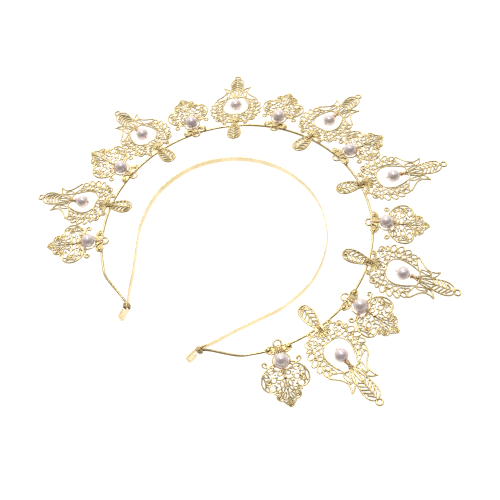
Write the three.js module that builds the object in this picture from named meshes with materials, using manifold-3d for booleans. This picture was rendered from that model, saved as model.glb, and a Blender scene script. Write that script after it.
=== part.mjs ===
// A gilt halo crown, a head ornament. A flat-strip headband carries a ring of round wire, and
// fifteen filigree plates stand on the wire, seven large and eight small in turn, each with an
// imitation pearl threaded on copper wire.
//
// Frame: +Z is square to the ring, +Y points from the headband's open end to its apex, and
// +X runs across the head. The origin is at the middle of the lowest level.
import * as THREE from "three";
import { mergeVertices } from "three/addons/utils/BufferGeometryUtils.js";
import Module from "manifold-3d";

// Driving dimensions, in millimetres and degrees.
const CLEARANCE = 0.3; // left between two pieces that touch

const BAND_WIDTH = 120; // widest, across the strip's centre line
const STRIP_WIDTH = 4.5;
const STRIP_THICKNESS = 0.7;
const BAND_TILT = 3.2; // the apex stands higher than the ends
const BAND_DROP = 3.3; // ends of the strip below the ring's plane
const HOOK_LENGTH = 7.5; // straight leg past the bend at each end
const HOOK_RETURN = 6.3; // leg folded back outside it
const HOOK_GAP = 1.9; // between the two legs
const HOOK_TURN = 25; // outward bend where the hook's leg starts

const WIRE_DIAMETER = 1.6; // ring wire
const WIRE_END_DROP = 3.8; // ends of the wire below the ring's plane, on the strip's outer face
const WIRE_SEAT = 4.5; // length of wire that lies along the strip
const END_INSET = 2.9; // ends of the strip inside the ring's circle
const RING_ARC = 143; // the wire is round to this angle on each side of the apex

const SIDE_CLEARANCE = 8.2; // inner leaf's end to the side of the headband
const APEX_CLEARANCE = 15.4; // inner leaf's end to the headband's apex

const PLATE_THICKNESS = 0.5;
const PLATE_GAP = 0.9; // between neighbouring plates at their widest
const RIM = 0.9; // least width of metal beside an opening

const LARGE_WIDTH = 34.4;
const LARGE_REACH = 58.6; // ring wire to the tip of the end ring
const LEAF_REACH = 16.8; // ring wire to the end of the inner leaf
const LEAF_WIDTH = 9.4;
const SPEAR_WIDTH = 9.6; // outer leaf
const HORN_SPREAD = 18.8; // between the two horn tips
const END_RING = 4.8; // outside diameter of the ring at the tip
const TEAR_START = 11.4; // inner end of the opening round the pearl
const TEAR_END = 30.8;
const TONGUE = 2.4; // reaches back into the opening from its outer end
const TONGUE_WIDTH = 5;
const TEAR_ROOM = 4.4; // opening's side to the pearl
const PEARL_HANG = 2.4; // tongue to the pearl

const SMALL_WIDTH = 28.6;
const HEART_REACH = 27; // pearl's centre to the tip
const LOOP_REACH = 5; // ring wire to the end of the loop
const NECK_TOP = 3.4; // ring wire to the opening round the pearl
const NECK_ROOM = 0.5; // pearl to the edge of that opening

const PEARL_DIAMETER = 8.4;
const LARGE_PEARL_RISE = 0.4; // pearl's centre above the plate's middle plane
const SMALL_PEARL_RISE = 2;
const COPPER_DIAMETER = 0.6; // wire that threads the pearls and binds the plates
const PIN_HEAD = 1.8; // flattened end that keeps a large plate's pearl on its wire

// Where each plate stands, from one end of the ring to the other. They are set by hand, so
// none is quite even: degrees along the ring past the even pitch, the outer end's rise, and
// the swing in the plate's own plane.
const SHIFT = [0.5, 1, 1, 0.5, 0.5, 0.5, 1, 0, -1, -1.5, 0.5, 1.5, 2.5, 1.5, 1];
const RISE = [-1.5, -13, -1, -11.5, -8, -16, -11, -13.5, -9, -6, -6, -13.5, -11.5, -6, -14];
const SWING = [0.5, -2.5, 0, 1.5, 0, -1, 0.5, -3.5, -6, -4, -5, 0.5, 3, 0.5, -6];

// Sizes that follow from them.
const wireRadius = WIRE_DIAMETER / 2;
const pearlRadius = PEARL_DIAMETER / 2;
const copperRadius = COPPER_DIAMETER / 2;
const copperHole = copperRadius + CLEARANCE;
const ringRadius = BAND_WIDTH / 2 + SIDE_CLEARANCE + LEAF_REACH;
const plateLift = wireRadius + CLEARANCE + PLATE_THICKNESS / 2; // plate's middle plane over the wire
const overPlate = PLATE_THICKNESS / 2 + CLEARANCE + copperRadius;
const underWire = plateLift + wireRadius + CLEARANCE + copperRadius;
const smallPearlAt = NECK_TOP + pearlRadius + NECK_ROOM;
const largePearlAt = TEAR_END - TONGUE - PEARL_HANG - pearlRadius;
const widestAt = 18; // where a plate is widest, outward from the ring wire
const pitch = 2 * THREE.MathUtils.radToDeg(
  Math.asin((LARGE_WIDTH + SMALL_WIDTH + 2 * PLATE_GAP) / 4 / (ringRadius + widestAt)),
);

const wasm = await Module();
wasm.setup();

const gilt = new THREE.MeshStandardMaterial({ color: 0xe6c15c, roughness: 0.25, metalness: 1 });
const stamped = new THREE.MeshStandardMaterial({ color: 0xe9c968, roughness: 0.3, metalness: 1 });
const copper = new THREE.MeshStandardMaterial({ color: 0xc9814f, roughness: 0.3, metalness: 1 });
const pearl = new THREE.MeshStandardMaterial({ color: 0xe3ccd4, roughness: 0.2, metalness: 0 });

const crown = new THREE.Group();

function addPiece(parent, name, geometry, material) {
  const mesh = new THREE.Mesh(geometry, material);
  mesh.name = name;
  parent.add(mesh);
}

// Outlines are chains of [across, outward, bulge] corners. The run that ends at a corner bows
// out by bulge times its own length, and is straight without one.
function chainInto(path, corners) {
  let [fromX, fromY] = corners[0];
  path.moveTo(fromX, fromY);
  for (const [x, y, bulge = 0] of corners.slice(1)) {
    if (bulge === 0) {
      path.lineTo(x, y);
    } else {
      const controlX = (fromX + x) / 2 + (y - fromY) * bulge;
      const controlY = (fromY + y) / 2 - (x - fromX) * bulge;
      path.quadraticCurveTo(controlX, controlY, x, y);
    }
    [fromX, fromY] = [x, y];
  }
  return path;
}

// The right half of an outline, from its inner end to its outer end, and the same mirrored.
function mirrored(half) {
  const back = half
    .slice(0, -1)
    .map(([x, y], i) => [-x, y, half[i + 1][2]])
    .reverse();
  return [...half, ...back];
}

function ringHole(x, y, radius, sides = 6) {
  const points = [];
  for (let i = 0; i < sides; i++) {
    const turn = (2 * Math.PI * i) / sides;
    points.push(new THREE.Vector2(x + radius * Math.cos(turn), y + radius * Math.sin(turn)));
  }
  return new THREE.Path(points);
}

function chainHole(corners) {
  return chainInto(new THREE.Path(), corners);
}

// The same opening on both sides of the plate.
function holePair(corners) {
  return [chainHole(corners), chainHole(corners.map(([x, y, bulge]) => [-x, y, -(bulge ?? 0)]))];
}

function plateGeometry(half, holes) {
  const shape = chainInto(new THREE.Shape(), mirrored(half));
  shape.holes.push(...holes);
  const geometry = new THREE.ExtrudeGeometry(shape, {
    depth: PLATE_THICKNESS,
    bevelEnabled: false,
    curveSegments: 2,
  });
  return geometry.translate(0, 0, -PLATE_THICKNESS / 2);
}

// A tube along a curve, with flat ends.
function tube(curve, radius, steps, sides) {
  const section = new THREE.Shape();
  for (let i = 0; i < sides; i++) {
    const turn = (2 * Math.PI * i) / sides;
    const [x, y] = [radius * Math.cos(turn), radius * Math.sin(turn)];
    if (i === 0) section.moveTo(x, y);
    else section.lineTo(x, y);
  }
  return new THREE.ExtrudeGeometry(section, { steps, extrudePath: curve, bevelEnabled: false });
}

// A curve in the plane across the ring wire, from [outward, up] points.
function sideCurve(points) {
  return new THREE.CatmullRomCurve3(points.map(([out, up]) => new THREE.Vector3(0, out, up)));
}

function solidOf(geometry) {
  const bare = geometry.clone();
  bare.deleteAttribute("normal");
  bare.deleteAttribute("uv");
  const { attributes, index } = mergeVertices(bare, 1e-4);
  return new wasm.Manifold(
    new wasm.Mesh({
      numProp: 3,
      vertProperties: attributes.position.array,
      triVerts: new Uint32Array(index.array),
    }),
  );
}

function joined(first, second) {
  const mesh = solidOf(first).add(solidOf(second)).getMesh();
  const geometry = new THREE.BufferGeometry();
  geometry.setAttribute("position", new THREE.BufferAttribute(mesh.vertProperties, 3));
  geometry.setIndex(new THREE.BufferAttribute(mesh.triVerts, 1));
  return geometry;
}

// Headband: one strip, bent into a head's outline, with both ends folded outward into hooks.
// Its outline is in halves of the width across and in heights, from the ends to the apex.
const BAND_OUTLINE = [
  [0.429, 0], [0.547, 0.081], [0.638, 0.163], [0.776, 0.27], [0.935, 0.409],
  [1, 0.599], [0.851, 0.8], [0.486, 0.947], [0, 1],
];
const bandTipX = (BAND_WIDTH / 2) * BAND_OUTLINE[0][0];
const bandTipY = -Math.sqrt((ringRadius - END_INSET) ** 2 - bandTipX ** 2);
const bandHeight = ringRadius - LEAF_REACH - APEX_CLEARANCE - bandTipY;

// Right half of the strip's centre line, ends first, in the band's own plane.
function bandHalf() {
  const at = ([across, up]) => new THREE.Vector2((across * BAND_WIDTH) / 2, up * bandHeight);
  const half = BAND_OUTLINE.map(at);
  const whole = [...half, ...half.slice(0, -1).reverse().map((p) => new THREE.Vector2(-p.x, p.y))];
  const steps = 57; // odd, so that the apex has a flat facet
  const points = new THREE.SplineCurve(whole).getSpacedPoints(steps);
  return points.slice(0, (steps + 1) / 2);
}

const bandPoints = bandHalf();
const endDirection = bandPoints[0].clone().sub(bandPoints[1]).normalize();
const endOutward = new THREE.Vector2(-endDirection.y, endDirection.x);

// The hook's corners, from its free end to the bend.
function hookPoints() {
  const leg = endDirection.clone().rotateAround(new THREE.Vector2(), degrees(HOOK_TURN));
  const outward = new THREE.Vector2(-leg.y, leg.x);
  const bend = bandPoints[0];
  const fold = bend.clone().addScaledVector(leg, HOOK_LENGTH);
  const back = fold.clone().addScaledVector(outward, HOOK_GAP + STRIP_THICKNESS);
  const freeEnd = back.clone().addScaledVector(leg, -HOOK_RETURN);
  return [freeEnd, back, fold];
}

function degrees(angle) {
  return THREE.MathUtils.degToRad(angle);
}

// One side of a strip: its centre line moved over by a distance, with mitred corners.
function offsetLine(points, distance) {
  return points.map((point, i) => {
    const before = points[Math.max(i - 1, 0)];
    const after = points[Math.min(i + 1, points.length - 1)];
    const normalOf = (a, b) => new THREE.Vector2(a.y - b.y, b.x - a.x).normalize();
    const first = i === 0 ? normalOf(point, after) : normalOf(before, point);
    const second = i === points.length - 1 ? first : normalOf(point, after);
    const middle = first.clone().add(second).normalize();
    return point.clone().addScaledVector(middle, distance / middle.dot(first));
  });
}

function bandGeometry() {
  const right = [...hookPoints(), ...bandPoints];
  const line = [...right, ...right.map((p) => new THREE.Vector2(-p.x, p.y)).reverse()];
  const inside = offsetLine(line, STRIP_THICKNESS / 2);
  const outside = offsetLine(line, -STRIP_THICKNESS / 2).reverse();
  const shape = new THREE.Shape([...inside, ...outside]);
  const geometry = new THREE.ExtrudeGeometry(shape, { depth: STRIP_WIDTH, bevelEnabled: false });
  return geometry.translate(0, 0, -STRIP_WIDTH / 2);
}

const band = new THREE.Group();
band.position.set(0, bandTipY, -BAND_DROP);
band.rotation.x = degrees(BAND_TILT);
crown.add(band);
addPiece(band, "headband", bandGeometry(), gilt);

// Ring wire: an arc whose ends come in to lie along the strip's outer face above the hooks.
const wireOffset = STRIP_THICKNESS / 2 + CLEARANCE + wireRadius;

function seatPoint(alongStrip) {
  const flat = bandPoints[0]
    .clone()
    .addScaledVector(endDirection, -alongStrip)
    .addScaledVector(endOutward, wireOffset);
  return new THREE.Vector3(flat.x, flat.y + bandTipY, -WIRE_END_DROP);
}

function ringWireCurve() {
  const right = [seatPoint(0.5), seatPoint(WIRE_SEAT)];
  const arcSteps = 24;
  for (let i = 0; i < arcSteps; i++) {
    const angle = degrees(RING_ARC * (1 - i / arcSteps));
    right.push(new THREE.Vector3(ringRadius * Math.sin(angle), ringRadius * Math.cos(angle), 0));
  }
  const apex = new THREE.Vector3(0, ringRadius, 0);
  const left = right.map((p) => new THREE.Vector3(-p.x, p.y, p.z)).reverse();
  return new THREE.CatmullRomCurve3([...right, apex, ...left]);
}

addPiece(crown, "halo_wire", tube(ringWireCurve(), wireRadius, 76, 8), gilt);

// Turns of wire round a squarish bundle, as [along, out, up] points: the wire's centre line runs
// between the given limits across the bundle and moves along it by spread for each turn.
function winding(turns, perTurn, spread, [outLow, outHigh], [upLow, upHigh]) {
  const squared = (value) => Math.sign(value) * Math.sqrt(Math.abs(value));
  const points = [];
  for (let i = 0; i <= turns * perTurn; i++) {
    const turn = (2 * Math.PI * (i + 0.5)) / perTurn;
    points.push([
      (spread * i) / perTurn,
      (outLow + outHigh) / 2 + ((outHigh - outLow) / 2) * squared(Math.cos(turn)),
      (upLow + upHigh) / 2 + ((upHigh - upLow) / 2) * squared(Math.sin(turn)),
    ]);
  }
  return points;
}

// End bindings: two turns of wire round the strip and the ring wire's end together.
function endBindingCurve(side) {
  const aroundCorner = 0.4; // further out than a flat side needs, so that the corners clear
  const away = CLEARANCE + copperRadius + aroundCorner;
  const across = [-STRIP_THICKNESS / 2 - away, wireOffset + wireRadius + away];
  const tall = [-STRIP_WIDTH / 2 - away, STRIP_WIDTH / 2 + away];
  const points = winding(2, 12, 0.9, across, tall).map(([along, out, up]) => {
    const flat = bandPoints[0]
      .clone()
      .addScaledVector(endDirection, -along - WIRE_SEAT * 0.3)
      .addScaledVector(endOutward, out);
    return new THREE.Vector3(side * flat.x, flat.y, up);
  });
  return new THREE.CatmullRomCurve3(points);
}

for (const [name, side] of [["left", -1], ["right", 1]]) {
  addPiece(band, "end_binding_" + name, tube(endBindingCurve(side), copperRadius, 26, 5), copper);
}

// Large plate: an inner leaf, scalloped wings round an egg-shaped opening, two horns, and an
// outer leaf that ends in a small ring. A tongue reaches into the opening and carries the pearl.
const tearHalf = pearlRadius + TEAR_ROOM;
const largeHalf = LARGE_WIDTH / 2;
const leafHalf = LEAF_WIDTH / 2;
const spearHalf = SPEAR_WIDTH / 2;
const endRingHalf = END_RING / 2;
const endRingAt = LARGE_REACH - endRingHalf;
const hornHalf = HORN_SPREAD / 2;
const tongueHoleAt = TEAR_END + 2.2; // hole that takes the pearl's wire
const bindingHoleAt = wireRadius + CLEARANCE + copperRadius + 1.1; // holes each side of the wire

function largePlateGeometry() {
  const wingEdge = 0.9 * largeHalf;
  const wingMiddle = (tearHalf + wingEdge) / 2;
  const wingHole = (wingEdge - tearHalf) / 2 - RIM;
  const half = [
    [0, -LEAF_REACH],
    [0.75 * leafHalf, -LEAF_REACH + 2.2, 0.15],
    [leafHalf, -LEAF_REACH + 6.5, 0.1],
    [0.78 * leafHalf, -2.6, 0.05],
    [0.24 * largeHalf, -0.5],
    [0.47 * largeHalf, 0.9, 0.4],
    [0.62 * largeHalf, 3.2],
    [0.82 * largeHalf, 5.6, 0.35],
    [0.8 * largeHalf, 8.2, 0.1],
    [0.93 * largeHalf, 11.2, 0.25],
    [0.89 * largeHalf, 13.6, 0.1],
    [largeHalf, 17.2, 0.1],
    [0.92 * largeHalf, 19.2],
    [0.97 * largeHalf, 22.2, 0.1],
    [0.86 * largeHalf, 23.6],
    [0.86 * largeHalf, 26.5, 0.15],
    [0.82 * largeHalf, 29],
    [0.88 * hornHalf, 35.6, -0.06],
    [0.86 * hornHalf, 38.5, -0.05],
    [hornHalf, 43.4, -0.08],
    [0.42 * hornHalf, 40.7, 0.08],
    [spearHalf, endRingAt - 7.7, 0.08],
    [0.6 * spearHalf, endRingAt - 3.2, 0.1],
    [0.25 * spearHalf, endRingAt - 0.86 * endRingHalf],
    [endRingHalf, endRingAt, 0.3],
    [0, LARGE_REACH, 0.3],
  ];
  const tear = mirrored([
    [0, TEAR_START],
    [0.55 * tearHalf, TEAR_START + 0.4],
    [0.9 * tearHalf, TEAR_START + 3.6, 0.14],
    [tearHalf, TEAR_START + 7.6, 0.08],
    [0.86 * tearHalf, TEAR_END - 5.4, 0.06],
    [0.6 * tearHalf, TEAR_END, 0.03],
    [TONGUE_WIDTH / 2, TEAR_END],
    [TONGUE_WIDTH / 3, TEAR_END - TONGUE],
    [0, TEAR_END - TONGUE - 0.2],
  ]);
  const bindingSlot = 1.6; // half the slot's length
  const slot = (at) => {
    const edge = copperHole + 0.2;
    return chainHole([
      [-bindingSlot, at - edge],
      [bindingSlot, at - edge],
      [bindingSlot, at + edge],
      [-bindingSlot, at + edge],
    ]);
  };
  const holes = [
    chainHole(tear),
    ringHole(0, endRingAt, endRingHalf - RIM, 8),
    ringHole(0, tongueHoleAt, copperHole + 0.3, 8),
    slot(bindingHoleAt),
    slot(-bindingHoleAt),
    ringHole(wingMiddle, TEAR_START + 2.2, wingHole),
    ringHole(-wingMiddle, TEAR_START + 2.2, wingHole),
    ringHole(wingMiddle, TEAR_START + 8.4, wingHole),
    ringHole(-wingMiddle, TEAR_START + 8.4, wingHole),
    ...holePair([
      [0.72 * largeHalf, 28.3],
      [0.8 * hornHalf, 34.4],
      [0.66 * hornHalf, 32.6],
      [0.58 * largeHalf, 27.2],
    ]),
    ...holePair([
      [0.3, -LEAF_REACH + 3],
      [0.72 * leafHalf, -LEAF_REACH + 6.6],
      [0.5, -5],
    ]),
    ...holePair([
      [0.4, endRingAt - 4],
      [0.4, endRingAt - 14],
      [0.68 * spearHalf, endRingAt - 8.2],
    ]),
  ];
  return plateGeometry(half, holes);
}

// Small plate: a loop and two scroll beads at the ring wire, a round frame open behind the
// pearl, two ear curls, and a heart-shaped body that narrows in steps to a point.
const smallHalf = SMALL_WIDTH / 2;
const beadHalf = 2.1;
const beadAt = 6; // across from the plate's middle
const loopHole = 1.9;
const loopAt = -LOOP_REACH + RIM + loopHole;
const neckOpening = pearlRadius + NECK_ROOM;
const stemHoleAt = smallPearlAt + neckOpening + 1.8; // hole that takes the pearl's wire

function smallPlateGeometry() {
  const at = smallPearlAt;
  const half = [
    [0, -LOOP_REACH],
    [loopHole + RIM, loopAt, 0.3],
    [beadAt - 2.4, -0.8],
    [beadAt, 0.7 - beadHalf, 0.1],
    [beadAt + beadHalf, 0.7, 0.3],
    [beadAt - 0.9, 0.7 + beadHalf, 0.35],
    [neckOpening - 0.6, NECK_TOP + 0.8, -0.1],
    [neckOpening + 0.9, at - 0.6, 0.1],
    [neckOpening + 3.4, at + 1, -0.05],
    [neckOpening + 5.4, at - 1.8, -0.3],
    [neckOpening + 7.2, at + 0.4, 0.35],
    [neckOpening + 5.2, at + 2.4, 0.3],
    [0.76 * smallHalf, at + 4.2],
    [0.92 * smallHalf, at + 7, 0.06],
    [smallHalf, at + 11, 0.06],
    [0.92 * smallHalf, at + 14.6, 0.1],
    [0.66 * smallHalf, at + 16.9, 0.14],
    [0.53 * smallHalf, at + 18.9],
    [0.45 * smallHalf, at + 21.8, 0.1],
    [0.25 * smallHalf, at + 23.4, 0.2],
    [0, at + HEART_REACH, 0.03],
  ];
  const lobeMiddle = 0.66 * smallHalf;
  const holes = [
    ringHole(0, at, neckOpening, 12),
    ringHole(0, loopAt, loopHole, 8),
    ringHole(0, stemHoleAt, copperHole + 0.3, 8),
    ringHole(lobeMiddle, at + 7.8, 0.16 * smallHalf),
    ringHole(-lobeMiddle, at + 7.8, 0.16 * smallHalf),
    ringHole(lobeMiddle, at + 13.2, 0.16 * smallHalf),
    ringHole(-lobeMiddle, at + 13.2, 0.16 * smallHalf),
    ...holePair([
      [0.06 * smallHalf, at + 10.5],
      [0.26 * smallHalf, at + 11.5],
      [0.28 * smallHalf, at + 19.5],
      [0.06 * smallHalf, at + 18],
    ]),
  ];
  return plateGeometry(half, holes);
}

// Pearl: a bead bored along the plate's length, so it turns on its wire.
function pearlGeometry() {
  const steps = 5;
  const start = Math.asin(copperHole / pearlRadius);
  const profile = [];
  for (let i = 0; i <= steps; i++) {
    const turn = start + ((Math.PI - 2 * start) * i) / steps;
    profile.push(new THREE.Vector2(pearlRadius * Math.sin(turn), -pearlRadius * Math.cos(turn)));
  }
  profile.push(profile[0].clone());
  return new THREE.LatheGeometry(profile, 12);
}

// Large plate's copper wire: a flattened head, straight through the pearl, over the tongue and
// down through the small hole, with its end turned back beneath.
function largePearlWireGeometry() {
  const headAt = largePearlAt - pearlRadius - CLEARANCE;
  const rise = LARGE_PEARL_RISE;
  const over = Math.max(rise, overPlate + 0.1);
  const curve = sideCurve([
    [headAt - 0.6, rise],
    [largePearlAt, rise],
    [largePearlAt + pearlRadius, rise],
    [TEAR_END - TONGUE - 0.8, over],
    [TEAR_END, over],
    [tongueHoleAt - 1, over],
    [tongueHoleAt, 0],
    [tongueHoleAt - 0.9, -overPlate - 0.1],
    [TEAR_END - 0.4, -overPlate - 0.2],
  ]);
  const head = new THREE.CylinderGeometry(PIN_HEAD / 2, PIN_HEAD / 2, 0.5, 8);
  head.translate(0, headAt - 0.25, rise);
  return joined(tube(curve, copperRadius, 16, 5), head);
}

// Small plate's copper wire: round the ring wire, up through the loop, over the neck, through
// the pearl and down through the hole in the stem.
function smallPearlWireGeometry() {
  const rise = SMALL_PEARL_RISE;
  const round = wireRadius + CLEARANCE + copperRadius;
  const curve = sideCurve([
    [0.75 * round, -plateLift - 0.9 * round],
    [0, -underWire - 0.1],
    [-0.9 * round, -plateLift - 0.75 * round],
    [-1.25 * round, -plateLift],
    [loopAt + 0.4, 0],
    [-0.9 * round, overPlate + 0.1],
    [0.8, overPlate + 0.3],
    [smallPearlAt - pearlRadius - 0.6, rise],
    [smallPearlAt, rise],
    [smallPearlAt + pearlRadius + 0.6, rise],
    [stemHoleAt - 0.3, overPlate],
    [stemHoleAt, -0.2],
    [stemHoleAt - 0.9, -overPlate - 0.1],
    [stemHoleAt - 2, -overPlate - 0.2],
  ]);
  return tube(curve, copperRadius, 25, 5);
}

// Large plate's binding: one and a half turns round the plate and the ring wire.
function largeBindingGeometry() {
  const slack = 0.2;
  const out = [-bindingHoleAt, bindingHoleAt];
  const up = [-underWire - slack, overPlate + slack];
  const spread = 1.1;
  const points = winding(1.5, 12, spread, out, up).map(
    ([along, y, z]) => new THREE.Vector3(along - 0.75 * spread, y, z),
  );
  return tube(new THREE.CatmullRomCurve3(points), copperRadius, 18, 5);
}

const pieces = {
  large: {
    plate: largePlateGeometry(),
    wire: largePearlWireGeometry(),
    pearlAt: [largePearlAt, LARGE_PEARL_RISE],
  },
  small: {
    plate: smallPlateGeometry(),
    wire: smallPearlWireGeometry(),
    pearlAt: [smallPearlAt, SMALL_PEARL_RISE],
  },
};
const pearlShape = pearlGeometry();
const bindingShape = largeBindingGeometry();

SHIFT.forEach((shift, i) => {
  const kind = i % 2 === 1 ? "large" : "small";
  const number = Math.floor(i / 2) + 1;
  const middle = (SHIFT.length - 1) / 2;
  const angle = degrees((i - middle) * pitch + shift);

  const station = new THREE.Group();
  station.position.set(ringRadius * Math.sin(angle), ringRadius * Math.cos(angle), 0);
  station.rotation.z = -angle;
  crown.add(station);

  const stand = new THREE.Group();
  stand.rotation.set(degrees(RISE[i]), 0, degrees(SWING[i]));
  station.add(stand);

  const onPlate = new THREE.Group();
  onPlate.position.z = plateLift;
  stand.add(onPlate);

  const { plate, wire, pearlAt } = pieces[kind];
  addPiece(onPlate, `${kind}_plate_${number}`, plate, stamped);
  addPiece(onPlate, `${kind}_pearl_wire_${number}`, wire, copper);
  if (kind === "large") {
    addPiece(onPlate, `large_binding_${number}`, bindingShape, copper);
  }

  const bead = new THREE.Group();
  bead.position.set(0, ...pearlAt);
  onPlate.add(bead);
  addPiece(bead, `${kind}_pearl_${number}`, pearlShape, pearl);
});

// The origin goes to the middle of the lowest level.
const box = new THREE.Box3().setFromObject(crown, true);
const centre = box.getCenter(new THREE.Vector3());
crown.position.set(-centre.x, -centre.y, -box.min.z);

export default crown;
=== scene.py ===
# A gilt halo crown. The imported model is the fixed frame: every piece below is made in the
# place of its CAD node, in the order the crown is put together. Shapes are drawn in
# millimetres and put in place, in metres, in their meshes.
import math

import bmesh
import bpy
from mathutils import Matrix, Vector


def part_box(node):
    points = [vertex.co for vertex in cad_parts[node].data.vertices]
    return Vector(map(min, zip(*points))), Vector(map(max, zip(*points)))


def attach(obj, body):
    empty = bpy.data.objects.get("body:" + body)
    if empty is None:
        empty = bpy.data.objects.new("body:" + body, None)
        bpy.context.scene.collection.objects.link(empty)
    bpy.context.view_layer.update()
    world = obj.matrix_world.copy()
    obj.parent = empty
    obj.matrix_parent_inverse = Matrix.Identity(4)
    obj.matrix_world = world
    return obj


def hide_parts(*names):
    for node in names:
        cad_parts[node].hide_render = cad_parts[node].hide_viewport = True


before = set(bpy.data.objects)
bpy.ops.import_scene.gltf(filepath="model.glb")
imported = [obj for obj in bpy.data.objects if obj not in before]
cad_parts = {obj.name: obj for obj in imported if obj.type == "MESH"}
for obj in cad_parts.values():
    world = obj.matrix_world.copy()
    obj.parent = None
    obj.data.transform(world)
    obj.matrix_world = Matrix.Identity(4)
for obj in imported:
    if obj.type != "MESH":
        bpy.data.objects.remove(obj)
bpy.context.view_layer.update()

# ---- Headband ----------------------------------------------------------------------------
# One strip of gilt brass, rolled flat and bent to a head's outline. Both ends turn outward
# and are folded back on themselves into small hooks. Its edges are tumbled smooth.
MM = 0.001
RING_RADIUS = 85
WIRE_RADIUS = 0.8
WIRE_TOP = 0.92  # the CAD ring's highest point, above the plane of its circle
STRIP_WIDTH = 4.5
STRIP_THICKNESS = 0.7
STRIP_EDGE = 0.16
CREASE = 55
BAND_HALF = 60
BAND_TILT = 3.2
BAND_DROP = 3.3
END_INSET = 2.9
LEAF_REACH = 16.8
APEX_CLEARANCE = 15.4
HOOK_LENGTH = 7.5
HOOK_RETURN = 6.3
HOOK_GAP = 1.9
HOOK_TURN = 25
HOOK_BEND = 1.25
HOOK_LEAD = 3
BAND_FACETS = 57
STRIP_EDGE_ANGLE = 50
BAND_OUTLINE = [
    (0.429, 0), (0.547, 0.081), (0.638, 0.163), (0.776, 0.27), (0.935, 0.409),
    (1, 0.599), (0.851, 0.8), (0.486, 0.947), (0, 1),
]

ring_low, ring_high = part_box("halo_wire")
ring_centre = Vector((
    (ring_low.x + ring_high.x) / 2,
    ring_high.y - (RING_RADIUS + WIRE_RADIUS) * MM,
    ring_high.z - WIRE_TOP * MM,
))
ring_place = Matrix.Translation(ring_centre) @ Matrix.Scale(MM, 4)
band_tip_x = BAND_HALF * BAND_OUTLINE[0][0]
band_tip_y = -math.sqrt((RING_RADIUS - END_INSET) ** 2 - band_tip_x ** 2)
band_height = RING_RADIUS - LEAF_REACH - APEX_CLEARANCE - band_tip_y
band_place = (
    ring_place
    @ Matrix.Translation((0, band_tip_y, -BAND_DROP))
    @ Matrix.Rotation(math.radians(BAND_TILT), 4, "X")
)


def smooth_line(corners, steps, closed=False, even=False):
    """A smooth line through the corners, with so many points to each span."""
    points = [Vector(corner) for corner in corners]
    if closed:
        points = [points[-1], *points, points[0], points[1]]
    elif even:
        points = [points[0], *points, points[-1]]
    else:
        points = [2 * points[0] - points[1], *points, 2 * points[-1] - points[-2]]
    power = 0 if even else 0.5
    line = []
    for a, b, c, d in zip(points, points[1:], points[2:], points[3:]):
        ab, bc, cd = ((q - p).length ** power for p, q in ((a, b), (b, c), (c, d)))
        leave = ((b - a) / ab - (c - a) / (ab + bc) + (c - b) / bc) * bc
        arrive = ((c - b) / bc - (d - b) / (bc + cd) + (d - c) / cd) * bc
        for step in range(steps):
            t = step / steps
            line.append(
                b * (2 * t ** 3 - 3 * t ** 2 + 1)
                + leave * (t ** 3 - 2 * t ** 2 + t)
                + c * (3 * t ** 2 - 2 * t ** 3)
                + arrive * (t ** 3 - t ** 2)
            )
    if not closed:
        line.append(points[-2])
    return line


def spaced(line, gap):
    """Points a gap apart along a line."""
    found = [line[0].copy()]
    left = gap
    for a, b in zip(line, line[1:]):
        run = (b - a).length
        at = left
        while at <= run:
            found.append(a.lerp(b, at / run))
            at += gap
        left = at - run
    return found


def bend_round(corners, radius, steps):
    """A line with its inner corners bent round."""
    line = [corners[0]]
    for before, corner, after in zip(corners, corners[1:], corners[2:]):
        start = corner + (before - corner).normalized() * radius
        end = corner + (after - corner).normalized() * radius
        for step in range(steps + 1):
            t = step / steps
            line.append(start * (1 - t) ** 2 + corner * 2 * t * (1 - t) + end * t ** 2)
    line.append(corners[-1])
    return line


def mesh_of_curve(curve):
    """The curve's own mesh. The curve is removed."""
    holder = bpy.data.objects.new(curve.name, curve)
    bpy.context.scene.collection.objects.link(holder)
    bpy.context.view_layer.update()
    graph = bpy.context.evaluated_depsgraph_get()
    mesh = bpy.data.meshes.new_from_object(holder.evaluated_get(graph))
    bpy.data.objects.remove(holder)
    bpy.data.curves.remove(curve)
    return mesh


def add_line(curve, line, thickness, closed=False):
    """One run of wire in a curve."""
    spline = curve.splines.new("POLY")
    spline.points.add(len(line) - 1)
    for point, place in zip(spline.points, line):
        point.co = (*Vector(place).to_3d(), 1)
        point.radius = thickness
    spline.use_cyclic_u = closed


def show(name, mesh, body, node, material):
    """The finished piece: its mesh is in place, and it stands for its CAD node."""
    mesh.name = name
    # How squarely each point faces up or down, kept for the gilt finishes, which paint shade on the points
    # that face sideways.
    if "facing" not in mesh.attributes:
        facing = mesh.attributes.new("facing", "FLOAT", "POINT")
        for vert in mesh.vertices:
            facing.data[vert.index].value = abs(vert.normal.z)
    for face in mesh.polygons:
        face.use_smooth = True
    mesh.set_sharp_from_angle(angle=math.radians(CREASE))
    mesh.materials.clear()
    mesh.materials.append(material)
    piece = bpy.data.objects.new(name, mesh)
    bpy.context.scene.collection.objects.link(piece)
    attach(piece, body)
    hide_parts(node)
    return piece


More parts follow.
